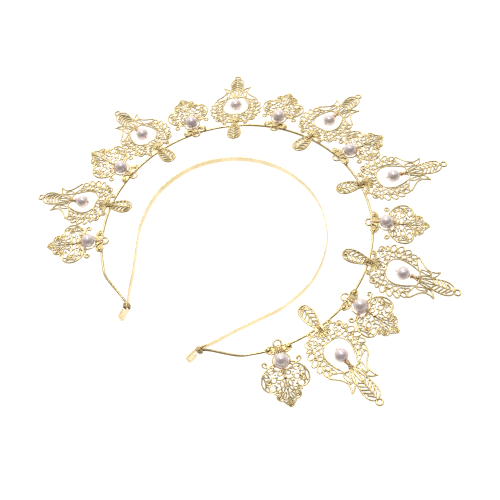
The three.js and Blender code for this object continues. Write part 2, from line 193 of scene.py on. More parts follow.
def gilt(name, tones, cloud_scale, roughness, bump, side_shade=None, side_shade_ends=0.45):
    """Gold plate over brass: clouded tone, uneven polish, a fine grain and, given a shade colour, painted
    shade on its steep sides.
    """
    material = bpy.data.materials.new(name)
    material.use_nodes = True
    nodes = material.node_tree.nodes
    link = material.node_tree.links.new
    shader = nodes["Principled BSDF"]
    shader.inputs["Metallic"].default_value = 1
    place = nodes.new("ShaderNodeTexCoord")
    clouds = nodes.new("ShaderNodeTexNoise")
    clouds.inputs["Scale"].default_value = cloud_scale
    clouds.inputs["Detail"].default_value = 5
    link(place.outputs["Object"], clouds.inputs["Vector"])
    tone = nodes.new("ShaderNodeValToRGB")
    ramp = tone.color_ramp.elements
    ramp[0].position = 0.3
    ramp[0].color = (*tones[0], 1)
    ramp[1].position = 0.7
    ramp[1].color = (*tones[-1], 1)
    for number, colour in enumerate(tones[1:-1], 1):
        middle = ramp.new(0.3 + 0.4 * number / (len(tones) - 1))
        middle.color = (*colour, 1)
    link(clouds.outputs["Fac"], tone.inputs["Fac"])
    colour = tone.outputs["Color"]
    # Painted shade: where a point faces sideways (its facing value is low), the colour is darkened towards
    # the given shade colour, on the steep sides of wires and plates.
    if side_shade:
        facing = nodes.new("ShaderNodeAttribute")
        facing.attribute_name = "facing"
        brightened = nodes.new("ShaderNodeMapRange")
        brightened.inputs["From Min"].default_value = 0.1
        brightened.inputs["From Max"].default_value = side_shade_ends
        link(facing.outputs["Fac"], brightened.inputs["Value"])
        painted_shade = nodes.new("ShaderNodeMix")
        painted_shade.data_type = "RGBA"
        painted_shade.inputs["A"].default_value = (*side_shade, 1)
        link(brightened.outputs["Result"], painted_shade.inputs["Factor"])
        link(colour, painted_shade.inputs["B"])
        colour = painted_shade.outputs["Result"]
    link(colour, shader.inputs["Base Color"])
    grain = nodes.new("ShaderNodeTexNoise")
    grain.inputs["Scale"].default_value = cloud_scale * 9
    grain.inputs["Detail"].default_value = 6
    link(place.outputs["Object"], grain.inputs["Vector"])
    polish = nodes.new("ShaderNodeMapRange")
    polish.inputs["From Min"].default_value = 0.35
    polish.inputs["From Max"].default_value = 0.65
    polish.inputs["To Min"].default_value = roughness[0]
    polish.inputs["To Max"].default_value = roughness[1]
    link(grain.outputs["Fac"], polish.inputs["Value"])
    link(polish.outputs["Result"], shader.inputs["Roughness"])
    relief = nodes.new("ShaderNodeBump")
    relief.inputs["Strength"].default_value = 0.5
    relief.inputs["Distance"].default_value = bump * MM
    link(grain.outputs["Fac"], relief.inputs["Height"])
    link(relief.outputs["Normal"], shader.inputs["Normal"])
    return material


gilt_strip = gilt(
    "gilt_strip",
    [(0.67, 0.52, 0.29), (0.75, 0.61, 0.37), (0.81, 0.68, 0.45)],
    cloud_scale=90,
    roughness=(0.13, 0.24),
    bump=0.012,
)


def headband_mesh():
    right = smooth_line(
        [Vector((x * BAND_HALF, y * band_height)) for x, y in BAND_OUTLINE]
        + [Vector((-x * BAND_HALF, y * band_height)) for x, y in BAND_OUTLINE[-2::-1]],
        24,
        even=True,
    )
    whole_length = sum((b - a).length for a, b in zip(right, right[1:]))
    first_facet = spaced(right, whole_length / BAND_FACETS)[1]
    direction = (right[0] - first_facet).normalized()
    half = right[: len(right) // 2 + 1]
    leg = Matrix.Rotation(math.radians(HOOK_TURN), 2) @ direction
    outward = Vector((-leg.y, leg.x))
    fold = half[0] + leg * HOOK_LENGTH
    back = fold + outward * (HOOK_GAP + STRIP_THICKNESS)
    free_end = back - leg * HOOK_RETURN
    start_of_side = half[0] - direction * HOOK_LEAD
    hook = bend_round([free_end, back, fold, half[0], start_of_side], HOOK_BEND, 6)
    side = [p for p in half if p.y > start_of_side.y + 1]
    line = hook + side
    line += [Vector((-p.x, p.y)) for p in reversed(line[:-1])]
    curve = bpy.data.curves.new("headband", "CURVE")
    curve.dimensions = "3D"
    curve.twist_mode = "Z_UP"
    curve.extrude = STRIP_WIDTH / 2
    add_line(curve, line, 1)
    return mesh_of_curve(curve), direction, half[0]


headband, band_end_direction, band_end = headband_mesh()
headband.transform(band_place)
strip = show("headband_strip", headband, "crown", "headband", gilt_strip)
wall = strip.modifiers.new("thickness", "SOLIDIFY")
wall.thickness = STRIP_THICKNESS * MM
wall.offset = 0
wall.use_even_offset = True
edge = strip.modifiers.new("tumbled edges", "BEVEL")
edge.width = STRIP_EDGE * MM
edge.segments = 3
edge.limit_method = "ANGLE"
edge.angle_limit = math.radians(STRIP_EDGE_ANGLE)

# ---- Ring wire ---------------------------------------------------------------------------
# Round springy wire, gold plated, bent into a circle. Its two ends come in and down to lie
# along the outer faces of the headband, just above the hooks.
WIRE_END_DROP = 3.8
WIRE_SEAT = 4.5
RING_ARC = 143
STRIP_GAP = 0.3

band_end_outward = Vector((-band_end_direction.y, band_end_direction.x))
wire_offset = STRIP_THICKNESS / 2 + STRIP_GAP + WIRE_RADIUS

# Painted shade: a wide band of the ring wire's steep sides is darkened towards the dark colour given here.
gilt_wire = gilt(
    "gilt_wire",
    [(0.60, 0.46, 0.21), (0.70, 0.55, 0.29), (0.78, 0.64, 0.38)],
    cloud_scale=130,
    roughness=(0.1, 0.22),
    bump=0.01,
    side_shade=(0.17, 0.12, 0.045),
    side_shade_ends=0.75,
)


def seat_point(along):
    flat = band_end - band_end_direction * along + band_end_outward * wire_offset
    return Vector((flat.x, flat.y + band_tip_y, -WIRE_END_DROP))


def ring_line():
    right = [seat_point(0.5), seat_point(WIRE_SEAT)]
    arc_steps = 24
    for step in range(arc_steps):
        angle = math.radians(RING_ARC * (1 - step / arc_steps))
        right.append(Vector((math.sin(angle), math.cos(angle), 0)) * RING_RADIUS)
    left = [Vector((-p.x, p.y, p.z)) for p in reversed(right)]
    return smooth_line([*right, (0, RING_RADIUS, 0), *left], 8)


def round_wire(name, sides):
    """An empty curve whose lines become round wire with closed ends."""
    curve = bpy.data.curves.new(name, "CURVE")
    curve.dimensions = "3D"
    curve.bevel_depth = 1
    curve.bevel_resolution = (sides - 4) // 2
    curve.use_fill_caps = True
    return curve


ring = round_wire("ring", 24)
add_line(ring, ring_line(), WIRE_RADIUS)
ring_mesh = mesh_of_curve(ring)
ring_mesh.transform(ring_place)
show("ring_wire", ring_mesh, "crown", "halo_wire", gilt_wire)

# ---- End bindings ------------------------------------------------------------------------
# Fine gilt copper wire, wound by hand round the strip and the end of the ring wire together,
# a few close turns at each end, drawn down tight over the strip's edges.
BINDING_RADIUS = 0.3
BINDING_CLEARANCE = 0.3
END_TURNS = 4
END_PITCH = 0.66
END_START = 0.9

# Painted shade: the steep sides of the copper windings are darkened towards the dark colour given here.
gilt_copper = gilt(
    "gilt_copper",
    [(0.76, 0.56, 0.27), (0.86, 0.67, 0.36), (0.93, 0.76, 0.46)],
    cloud_scale=260,
    roughness=(0.14, 0.28),
    bump=0.01,
    side_shade=(0.2, 0.12, 0.04),
)


def winding(turns, per_turn, spread, across, tall):
    """Turns of wire round a squarish bundle, as (along, out, up)."""
    middle_out, half_out = (across[0] + across[1]) / 2, (across[1] - across[0]) / 2
    middle_up, half_up = (tall[0] + tall[1]) / 2, (tall[1] - tall[0]) / 2
    points = []
    for step in range(round(turns * per_turn) + 1):
        turn = 2 * math.pi * (step + 0.5) / per_turn
        out = math.copysign(abs(math.cos(turn)) ** 0.5, math.cos(turn))
        up = math.copysign(abs(math.sin(turn)) ** 0.5, math.sin(turn))
        points.append((
            spread * step / per_turn,
            middle_out + half_out * out,
            middle_up + half_up * up,
        ))
    return points


for side_name, side_sign in (("left", -1), ("right", 1)):
    away = BINDING_CLEARANCE + BINDING_RADIUS
    bundle = (-STRIP_THICKNESS / 2 - away, wire_offset + WIRE_RADIUS + away - 0.2)
    height = (-STRIP_WIDTH / 2 - away, STRIP_WIDTH / 2 + away)
    line = []
    for along, out, up in winding(END_TURNS, 20, END_PITCH, bundle, height):
        flat = band_end - band_end_direction * (along + END_START) + band_end_outward * out
        line.append((side_sign * flat.x, flat.y, up))
    binding = round_wire("end_binding", 8)
    add_line(binding, smooth_line(line, 2), BINDING_RADIUS)
    binding_mesh = mesh_of_curve(binding)
    binding_mesh.transform(band_place)
    node = "end_binding_" + side_name
    show("end_coil_" + side_name, binding_mesh, "crown", node, gilt_copper)

# ---- Large filigree plates ---------------------------------------------------------------
# Seven stampings of thin brass, pierced and gold plated: an inner leaf with barbs, two wings
# of petals and scrolls round an open drop, two horns, and an outer leaf that ends in a ring.
# Each is tied to the ring wire where the leaf meets the wings, at its own slight angle.
PLATE_LIFT = WIRE_RADIUS + 0.3 + 0.25
# For each plate from the left, in degrees: along the ring, tilt, and swing to one side.
SHIFT = [0.5, 1, 1, 0.5, 0.5, 0.5, 1, 0, -1, -1.5, 0.5, 1.5, 2.5, 1.5, 1]
RISE = [-1.5, -13, -1, -11.5, -8, -16, -11, -13.5, -9, -6, -6, -13.5, -11.5, -6, -14]
SWING = [0.5, -2.5, 0, 1.5, 0, -1, 0.5, -3.5, -6, -4, -5, 0.5, 3, 0.5, -6]
LARGE_WIDTH = 34.4
SMALL_WIDTH = 28.6
PLATE_GAP = 0.9
WIDEST_AT = 18
SHEET_HALF = 0.16
RELIEF_BOLDNESS = 1.22
OVAL_POINTS = 12
CURL_STEPS = 16

pitch = 2 * math.asin(
    (LARGE_WIDTH + SMALL_WIDTH + 2 * PLATE_GAP) / 4 / (RING_RADIUS + WIDEST_AT)
)

# Painted shade: the steep sides of the filigree's wires, beads and sheet are darkened nearly to black.
gilt_filigree = gilt(
    "gilt_filigree",
    [(0.67, 0.51, 0.22), (0.82, 0.66, 0.34), (0.91, 0.77, 0.46)],
    cloud_scale=210,
    roughness=(0.12, 0.26),
    bump=0.02,
    side_shade=(0.07, 0.04, 0.012),
    side_shade_ends=0.5,
)


def plate_place(station):
    """Where the plate at a station stands, from its own drawing to the frame."""
    angle = (station - (len(SHIFT) - 1) / 2) * pitch + math.radians(SHIFT[station])
    along_ring = Vector((math.sin(angle), math.cos(angle), 0)) * RING_RADIUS
    return (
        ring_place
        @ Matrix.Translation(along_ring)
        @ Matrix.Rotation(-angle, 4, "Z")
        @ Matrix.Rotation(math.radians(RISE[station]), 4, "X")
        @ Matrix.Rotation(math.radians(SWING[station]), 4, "Z")
        @ Matrix.Translation((0, 0, PLATE_LIFT))
    )


def flipped(corners):
    """The same drawing on the plate's other side."""
    return [(-corner[0], *corner[1:]) for corner in corners]


def oval(u, v, half_u, half_v, tilt):
    """Points round an oval, turned by tilt degrees."""
    turn = math.radians(tilt)
    points = []
    for step in range(OVAL_POINTS):
        round_by = 2 * math.pi * step / OVAL_POINTS
        x, y = half_u * math.cos(round_by), half_v * math.sin(round_by)
        points.append((
            u + x * math.cos(turn) - y * math.sin(turn),
            v + x * math.sin(turn) + y * math.cos(turn),
        ))
    return points


def curl(u, v, start_radius, end_radius, start, sweep):
    """Points along a scroll that winds in round a centre, angles in degrees."""
    points = []
    for step in range(CURL_STEPS + 1):
        share = step / CURL_STEPS
        turn = math.radians(start + sweep * share)
        radius = start_radius + (end_radius - start_radius) * share
        points.append((u + radius * math.cos(turn), v + radius * math.sin(turn)))
    return points


def lifted(line, height):
    return [(*Vector(point).to_2d(), height) for point in line]


class Stamping:
    """A plate's drawing: wires and beads in relief on a thin pierced sheet."""

    def __init__(self):
        self.wires = round_wire("relief", 8)
        self.beads = bmesh.new()

    def wire(self, corners, thickness=0.36, height=0.1, closed=False, steps=3):
        line = smooth_line(corners, steps, closed)
        radius = thickness * RELIEF_BOLDNESS
        add_line(self.wires, lifted(line, height), radius, closed)
        if not closed:
            for end in (line[0], line[-1]):
                self.bead(end.x, end.y, radius, height, flat=1)

    def pair(self, corners, thickness=0.36, height=0.1, closed=False, steps=3):
        self.wire(corners, thickness, height, closed, steps)
        self.wire(flipped(corners), thickness, height, closed, steps)

    def loops(self, ovals, thickness=0.36, height=0.1):
        for shape in ovals:
            self.pair(oval(*shape), thickness, height, closed=True, steps=2)

    def bead(self, u, v, size, height=0.2, long=1, tilt=0, flat=0.8, fine=8):
        place = (
            Matrix.Translation((u, v, height))
            @ Matrix.Rotation(math.radians(tilt), 4, "Z")
            @ Matrix.Diagonal((size, size * long, size * flat, 1))
        )
        bmesh.ops.create_uvsphere(
            self.beads, u_segments=fine, v_segments=fine - 2, radius=1, matrix=place
        )

    def bead_pair(self, u, v, size, height=0.2, long=1, tilt=0, flat=0.8, fine=8):
        self.bead(u, v, size, height, long, tilt, flat, fine)
        self.bead(-u, v, size, height, long, -tilt, flat, fine)

    def grains(self, corners, size, gap, height=0.15):
        """A row of small grains on both sides of the plate."""
        for place in spaced(smooth_line(corners, 8), gap):
            self.bead_pair(place.x, place.y, size, height, fine=6)

    def sheet(self, half):
        """A solid patch of sheet under the relief, from the right half of its outline."""
        curve = bpy.data.curves.new("sheet", "CURVE")
        curve.dimensions = "2D"
        curve.fill_mode = "BOTH"
        curve.extrude = SHEET_HALF
        line = smooth_line(half, 4)
        line += [Vector((-p.x, p.y)) for p in reversed(line[1:-1])]
        add_line(curve, line, 1, closed=True)
        return mesh_of_curve(curve)

    def finished(self, sheet):
        """One mesh that keeps how squarely each point faces out, for the shade that the finish paints on
        its steep sides.
        """
        relief = mesh_of_curve(self.wires)
        work = self.beads
        work.from_mesh(relief)
        work.from_mesh(sheet)
        bmesh.ops.remove_doubles(work, verts=work.verts, dist=0.002)
        bmesh.ops.recalc_face_normals(work, faces=work.faces)
        facing = work.verts.layers.float.new("facing")
        for vert in work.verts:
            vert[facing] = abs(vert.normal.z)
        mesh = bpy.data.meshes.new("stamping")
        work.to_mesh(mesh)
        work.free()
        bpy.data.meshes.remove(relief)
        bpy.data.meshes.remove(sheet)
        return mesh


def large_stamping():
    plate = Stamping()
    # Inner leaf: a double rim, a beaded vein, barbs that point to the end, and a boss.
    plate.pair(
        [(1.9, -0.9), (3.2, -4.2), (4.2, -8.8), (4.05, -12.4), (2.6, -15.2), (0, -16.3)],
        0.45, 0.1,
    )
    plate.pair([(1.5, -2.4), (2.45, -5.4), (3.2, -9.2), (2.95, -12.2), (1.6, -14.4)], 0.3)
    for row in range(4):
        v = -3 - 2.7 * row
        reach = 2.6 + 0.55 * min(row, 2)
        plate.pair([(reach, v), (reach * 0.5, v - 1.1), (0.15, v - 2.6)], 0.5, 0.15)
    for row in range(12):
        plate.bead(0, -2.6 - 0.95 * row, 0.55, 0.3)
    plate.bead(0, -14.4, 1.2, 0.15, long=0.85, flat=0.6, fine=14)
    plate.wire(oval(0, -14.4, 1.6, 1.4, 0), 0.3, 0, closed=True)
    # Wings: an outer row of petals that fan up, and a row of loops round the drop.
    petals = [
        (13.55, 25.3, 1.35, 2.2, -10),
        (14.9, 21.2, 1.45, 2.5, -40),
        (15.05, 16.7, 1.6, 2.65, -60),
        (14.1, 12.3, 1.65, 2.75, -80),
        (12.9, 8.9, 0.95, 1.9, -100),
    ]
    plate.loops(petals, 0.42, 0.05)
    for u, v, _, half_v, tilt in petals:
        turn = math.radians(tilt)
        foot = Vector((math.sin(turn), -math.cos(turn))) * (half_v * 0.8)
        plate.bead_pair(u + foot.x, v + foot.y, 0.6, 0.35, long=1.5, tilt=tilt)
    plate.loops([
        (9.7, 26.8, 0.95, 1.9, 38),
        (10.9, 23.3, 1.35, 1.5, 10),
        (11.2, 19.8, 1.5, 1.4, 0),
        (11.0, 16.3, 1.5, 1.4, -15),
        (10.1, 12.8, 1.6, 1.4, -35),
        (7.3, 10.4, 1.75, 1.3, -15),
        (3.6, 9.7, 1.5, 1.15, 5),
    ], 0.4, 0.2)
    for u, v in [
        (12.5, 23.2), (9.1, 24.9), (12.9, 19), (9.2, 21.4), (12.7, 14.5), (9.2, 18),
        (11.8, 10.6), (8.8, 14.4), (8.9, 11.4), (9.6, 9.1), (5.4, 10.9), (5.5, 8.6),
        (1.7, 10.9), (11.9, 25.1),
    ]:
        plate.bead_pair(u, v, 0.55, 0.35)
    # Scrolls at the foot of each wing, and the small loops that join them.
    plate.pair(curl(11, 5.6, 2.5, 0.8, 95, -440), 0.42, 0.1, steps=2)
    plate.bead_pair(11, 5.6, 0.85, 0.25, fine=10)
    plate.loops([(7.35, 7.15, 1.35, 1, 20)], 0.38, 0.2)
    plate.pair(curl(6.9, 1.5, 1.6, 0.6, 70, -420), 0.4, 0.1, steps=2)
    plate.bead_pair(6.9, 1.5, 0.65, 0.2, fine=10)
    plate.pair([(9.5, 3.6), (8.7, 3.2), (7.6, 3)], 0.4, 0.1)
    plate.pair([(8.8, 4.3), (7.2, 5.3), (5.9, 6.8)], 0.38, 0.15)
    # Palmette under the drop, and a flower of beads over the ring wire.
    for number, lean in enumerate((26, 54, 84)):
        turn = math.radians(lean)
        reach = (3.5, 3.5, 3.9)[number]
        u, v = reach * math.sin(turn), 2.6 + reach * math.cos(turn)
        plate.loops([(u, v, 0.85, 2.3, -lean)], 0.36, 0.25)
        plate.bead_pair(u, v, 0.36, 0.3, long=4, tilt=-lean)
    plate.wire(oval(0, 6.4, 0.85, 2.6, 0), 0.36, 0.3, closed=True, steps=2)
    plate.bead(0, 6.6, 0.4, 0.35, long=4)
    plate.bead(0, 9.6, 0.8, 0.3, long=1.3, fine=10)
    for number in range(6):
        turn = math.radians(60 * number + 30)
        plate.bead(1.4 * math.cos(turn), 2.9 + 1.25 * math.sin(turn), 0.66, 0.45, fine=10)
    plate.bead(0, 2.9, 0.65, 0.7, fine=10)
    # Rim of the drop, with a row of grains outside it.
    plate.pair(
        [(0, 11.3), (3.9, 11.6), (6.8, 13.6), (8.35, 17.2), (8.4, 20.6), (7.4, 25),
         (6, 28.6), (4.9, 31.2)],
        0.36, 0.25,
    )
    plate.grains(
        [(5.2, 12.6), (7.6, 14.2), (9.05, 17.4), (9.1, 20.7), (8, 25.2), (6.5, 29)],
        0.3, 0.62, 0.25,
    )
    # Long flanks and horns, with the leaf loops between them and the stem.
    plate.pair(
        [(13.7, 27.4), (13.95, 28.9), (12.2, 30.7), (9.9, 33), (8.1, 35.6), (7.5, 38),
         (7.9, 40.6), (9.2, 43.3)],
        0.45, 0.05,
    )
    plate.pair([(9.2, 43.3), (6.9, 42.3), (5, 40.8), (4, 38.9)], 0.45, 0.05)
    plate.bead_pair(9.15, 43.25, 0.46, 0.05)
    plate.pair(
        [(5.2, 31.3), (7.2, 29.8), (9.8, 28.5), (12.2, 27.6), (13.75, 28.4)], 0.38, 0.15
    )
    plate.pair([(7.5, 37.8), (6.2, 38.4), (4, 38.2)], 0.38, 0.1)
    plate.loops([(5.75, 34.8, 1.05, 3.3, 8)], 0.38, 0.2)
    plate.loops([(2.8, 36.2, 0.8, 5, -12)], 0.4, 0.3)
    plate.wire(oval(0, 36.4, 0.9, 5, 0), 0.4, 0.4, closed=True, steps=2)
    plate.pair([(5.2, 31.3), (3.2, 31.7), (0, 31.8)], 0.5, 0.1)
    for number in range(5):
        turn = math.radians(72 * number + 90)
        plate.bead(1.2 * math.cos(turn), 30.3 + 1.1 * math.sin(turn), 0.7, 0.4, fine=10)
    plate.bead(0, 30.3, 0.6, 0.7, fine=10)
    # Outer leaf: rim, beaded vein, barbs, collar and end ring.
    plate.pair(
        [(3.2, 39.4), (4, 43), (4.55, 46.6), (4.35, 49.8), (3.1, 52.8), (0.6, 54.4)],
        0.45, 0.1,
    )
    for row in range(5):
        v = 52.4 - 2.5 * row
        reach = (2.9, 3.9, 4.2, 4, 3.5)[row]
        plate.pair([(0.15, v), (reach * 0.5, v - 1.3), (reach, v - 3)], 0.48, 0.15)
    for row in range(13):
        plate.bead(0, 41.3 + 0.95 * row, 0.56, 0.35)
    plate.bead(0, 54.2, 0.95, 0.1, fine=10)
    plate.wire(oval(0, 56.2, 1.85, 1.85, 0), 0.5, 0, closed=True, steps=3)
    waist = plate.sheet([(0, -2.4), (2, -2.1), (2.5, 0.2), (3.1, 2.2), (2.4, 3.8), (0, 4.2)])
    return plate.finished(waist)


large_work = large_stamping()
for number in range(1, 8):
    plate_mesh = large_work.copy()
    plate_mesh.transform(plate_place(2 * number - 1))
    show(
        f"large_filigree_{number}", plate_mesh, "crown", f"large_plate_{number}",
        gilt_filigree,
    )

# ---- Small filigree plates ---------------------------------------------------------------
# Eight stampings of the same thin brass, between the large ones: a loop and two scroll balls
# on the ring wire, a ribbed fan, a thin frame round the pearl, two ear curls, and a heart of
# scrolls that rises in steps to a point.


def small_stamping():
    plate = Stamping()
    # Loop, fan and scroll balls at the ring wire.
    plate.wire(oval(0, -2.1, 2.35, 2.35, 0), 0.5, 0, closed=True, steps=3)
    for rib in range(-3, 4):
        head = (1.12 * rib, 3.5 - 0.1 * rib * rib)
        plate.wire([(0.42 * rib, -0.6), (0.72 * rib, 1.9), head], 0.46, 0.4)
        plate.bead(*head, 0.55, 0.4)
    plate.bead_pair(5.9, 0.7, 1.4, 0.1, flat=0.75, fine=14)
    plate.pair(curl(5.9, 0.8, 2, 1.2, 150, -470), 0.36, 0.25, steps=2)
    plate.pair([(2.4, -0.6), (4.1, -1), (5.6, -1.2)], 0.45, 0.1)
    plate.pair([(3, 3.3), (4.5, 3.4), (5.9, 2.8)], 0.45, 0.1)
    # Frame round the pearl, open behind it.
    plate.pair(
        [(2.6, 4.1), (3.9, 5), (4.8, 6.4), (5.05, 8.1), (4.85, 9.6), (4.2, 10.9)], 0.36, 0.05
    )
    # Ear curls and the bars that carry them.
    plate.pair([(4.9, 9.3), (6.6, 9.9), (8.4, 10.3), (10, 10.1)], 0.42, 0.05)
    plate.pair(curl(9.95, 8.5, 1.6, 0.9, 88, -300), 0.44, 0.05, steps=2)
    plate.bead_pair(9.6, 7.9, 0.7, 0.1)
    plate.pair([(5, 10.8), (6.8, 11.3), (8.4, 10.5)], 0.42, 0.1)
    # Lobes: one long scroll each side that winds in to a bead.
    plate.pair(
        [(5.4, 11.4), (7.8, 11), (10.3, 12.3), (12.5, 14.7), (13.7, 17.6), (13.75, 20.3),
         (12.9, 22.6), (10.9, 24.3), (8.6, 24.7), (6.4, 24)],
        0.46, 0.15,
    )
    plate.loops([
        (8.3, 22.6, 2.15, 1.55, 12),
        (6.75, 18.4, 1.75, 1.5, 18),
        (2.4, 21.4, 1.15, 1.75, -14),
        (2.35, 15.4, 1.5, 1.1, 8),
        (7.3, 13.7, 1.55, 0.95, 8),
        (10.6, 15, 0.95, 1.35, 40),
        (4.55, 25, 1.15, 0.85, 20),
        (2.4, 28.2, 0.75, 2.1, -24),
    ], 0.38, 0.2)
    plate.pair(curl(10.1, 18.7, 1.75, 0.7, 150, -400), 0.4, 0.2, steps=2)
    plate.bead_pair(10.1, 18.7, 0.7, 0.3, fine=10)
    plate.pair([(12.5, 22.6), (11.8, 20.6), (11.75, 18), (12.4, 15.2)], 0.4, 0.15)
    for u, v, size in [
        (10.9, 21.4, 0.75), (4.6, 20.6, 0.75), (4.5, 17.2, 0.65), (5.3, 15.6, 0.6),
        (4.6, 13.4, 0.85), (9.1, 15.6, 0.6), (9.3, 13, 0.7), (5.6, 22.6, 0.65),
        (8.7, 20.4, 0.6), (3.2, 23.7, 0.6), (6.3, 25.5, 0.7), (3.9, 26.5, 0.6),
        (9, 16.7, 0.55), (12.2, 13.9, 0.5),
    ]:
        plate.bead_pair(u, v, size, 0.3)
    # Stem with its tulip prongs and long bead.
    plate.wire([(0, 13), (0, 16), (0, 20), (0, 23.6), (0, 27.4)], 0.46, 0.25)
    plate.bead(0, 18, 1.05, 0.35, long=1.5, fine=12)
    plate.bead(0, 24.6, 0.75, 0.35, long=1.7, fine=10)
    plate.pair([(0.4, 22.6), (1.3, 23.6), (1.9, 25.1), (3, 26)], 0.42, 0.25)
    plate.pair([(0.6, 18.4), (1.8, 18.9), (3.2, 18.9), (4.8, 18.4)], 0.4, 0.25)
    plate.pair([(0.2, 13.6), (1.9, 13.5), (3.6, 13.3), (5.6, 12.2)], 0.4, 0.2)
    # Shoulders: a scroll with a bead, and a short spur below it.
    plate.pair(curl(5.15, 28.3, 1.95, 0.8, 60, -420), 0.42, 0.15, steps=2)
    plate.bead_pair(5.15, 28.3, 0.8, 0.3, fine=10)
    plate.pair([(3.6, 31.1), (5.1, 30.8), (6.3, 30)], 0.42, 0.1)
    plate.pair([(5.8, 24.4), (6.6, 25.5), (8.1, 26.1)], 0.45, 0.1)
    plate.pair([(8.1, 26.1), (6.9, 26.6), (5.8, 26.4)], 0.4, 0.1)
    # The ribbed point.
    plate.pair([(3.8, 30.9), (2.7, 32.3), (1.4, 33.8), (0, 35)], 0.42, 0.1)
    plate.grains([(3.9, 31.2), (2.8, 32.6), (1.5, 34.1)], 0.38, 0.85, 0.1)
    plate.bead(0, 34.9, 0.55, 0.1)
    for row in range(4):
        v = 28.9 + 1.25 * row
        plate.pair(
            [(0.1, v), (1 - 0.1 * row, v + 1), (2.2 - 0.4 * row, v + 1.9)], 0.38, 0.25
        )
    plate.wire([(0, 27), (0, 30), (0, 34)], 0.4, 0.3)
    neck = plate.sheet(
        [(0, -1.2), (2.6, -1), (5, -0.4), (5.2, 1.6), (3.6, 3.2), (1.9, 3.4), (0, 3.1)]
    )
    return plate.finished(neck)


small_work = small_stamping()
for number in range(1, 9):
    plate_mesh = small_work.copy()
    plate_mesh.transform(plate_place(2 * number - 2))
    show(
        f"small_filigree_{number}", plate_mesh, "crown", f"small_plate_{number}",
        gilt_filigree,
    )

# ---- Pearls ------------------------------------------------------------------------------
# Fifteen imitation pearls: glass beads, drilled through and dipped in a pearly lacquer of a
# lilac pink. Each turns on its own wire, in the drop of a large plate or over a small one.
PEARL_RADIUS = 4.2
BORE_RADIUS = 0.42
LARGE_PEARL = (0, 21.8, 0.4)
SMALL_PEARL = (0, 8.1, 2)


def pearl_lacquer():
    material = bpy.data.materials.new("pearl_lacquer")
    material.use_nodes = True
    nodes = material.node_tree.nodes
    link = material.node_tree.links.new
    shader = nodes["Principled BSDF"]
    shader.inputs["Metallic"].default_value = 0.08
    shader.inputs["Specular IOR Level"].default_value = 0.9
    shader.inputs["Subsurface Weight"].default_value = 0.3
    shader.inputs["Subsurface Radius"].default_value = (0.002, 0.0012, 0.001)
    shader.inputs["Coat Weight"].default_value = 1
    shader.inputs["Coat IOR"].default_value = 2.4
    shader.inputs["Coat Roughness"].default_value = 0.25
    shader.inputs["Sheen Weight"].default_value = 0.2
    shader.inputs["Sheen Tint"].default_value = (1, 0.78, 0.86, 1)
    place = nodes.new("ShaderNodeTexCoord")
    swirl = nodes.new("ShaderNodeTexNoise")
    swirl.inputs["Scale"].default_value = 170
    swirl.inputs["Detail"].default_value = 3
    swirl.inputs["Distortion"].default_value = 1.2
    link(place.outputs["Object"], swirl.inputs["Vector"])
    tone = nodes.new("ShaderNodeValToRGB")
    ramp = tone.color_ramp.elements
    ramp[0].position = 0.32
    ramp[0].color = (0.86, 0.69, 0.76, 1)
    ramp[1].position = 0.7
    ramp[1].color = (1, 0.83, 0.74, 1)
    middle = ramp.new(0.5)
    middle.color = (0.95, 0.80, 0.80, 1)
    link(swirl.outputs["Fac"], tone.inputs["Fac"])
    link(tone.outputs["Color"], shader.inputs["Base Color"])
    dust = nodes.new("ShaderNodeTexNoise")
    dust.inputs["Scale"].default_value = 2600
    dust.inputs["Detail"].default_value = 4
    link(place.outputs["Object"], dust.inputs["Vector"])
    gloss = nodes.new("ShaderNodeMapRange")
    gloss.inputs["To Min"].default_value = 0.18
    gloss.inputs["To Max"].default_value = 0.34
    link(dust.outputs["Fac"], gloss.inputs["Value"])
    link(gloss.outputs["Result"], shader.inputs["Roughness"])
    bump = nodes.new("ShaderNodeBump")
    bump.inputs["Strength"].default_value = 0.15
    bump.inputs["Distance"].default_value = 0.012 * MM
    link(dust.outputs["Fac"], bump.inputs["Height"])
    link(bump.outputs["Normal"], shader.inputs["Normal"])
    return material


def pearl_shape():
    """A ball with a straight bore along the plate's length."""
    work = bmesh.new()
    start = math.asin(BORE_RADIUS / PEARL_RADIUS)
    lip = Vector((BORE_RADIUS, -PEARL_RADIUS * math.cos(start), 0))
    first = work.verts.new(lip)
    arc = bmesh.ops.spin(
        work, geom=[first], cent=(0, 0, 0), axis=(0, 0, 1),
        angle=math.pi - 2 * start, steps=24,
    )
    last = [v for v in arc["geom_last"] if isinstance(v, bmesh.types.BMVert)][0]
    work.edges.new((first, last))
    bmesh.ops.spin(
        work, geom=work.verts[:] + work.edges[:], cent=(0, 0, 0), axis=(0, 1, 0),
        angle=2 * math.pi, steps=40, use_merge=True,
    )
    bmesh.ops.remove_doubles(work, verts=work.verts, dist=0.0005)
    bmesh.ops.recalc_face_normals(work, faces=work.faces)
    mesh = bpy.data.meshes.new("pearl")
    work.to_mesh(mesh)
    work.free()
    return mesh


pearl_finish = pearl_lacquer()
pearl = pearl_shape()
for station in range(len(SHIFT)):
    size = "large" if station % 2 else "small"
    number = station // 2 + 1
    hung = LARGE_PEARL if station % 2 else SMALL_PEARL
    pearl_mesh = pearl.copy()
    pearl_mesh.transform(plate_place(station) @ Matrix.Translation(hung))
    node = f"{size}_pearl_{number}"
    show(f"{size}_bead_{number}", pearl_mesh, node, node, pearl_finish)

# ---- Pearl wires -------------------------------------------------------------------------
# Bright rose copper wire. On a large plate it hangs the pearl from the rosette, with turns
# wound into a small cone over the bead. On a small plate it comes round the ring wire, over
# the fan, through the pearl and into the stem, and a coil of it hugs the pearl from above.
COPPER_RADIUS = 0.3
HEAD_RADIUS = 0.6
CONE_WIRE_RADIUS = 0.26
ARCH_WIRE_RADIUS = 0.2
ARCH_COIL_RADIUS = 0.3
ARCH_RADIUS = 4.75
ARCH_HALF = 80
ARCH_HEIGHT = 1.6

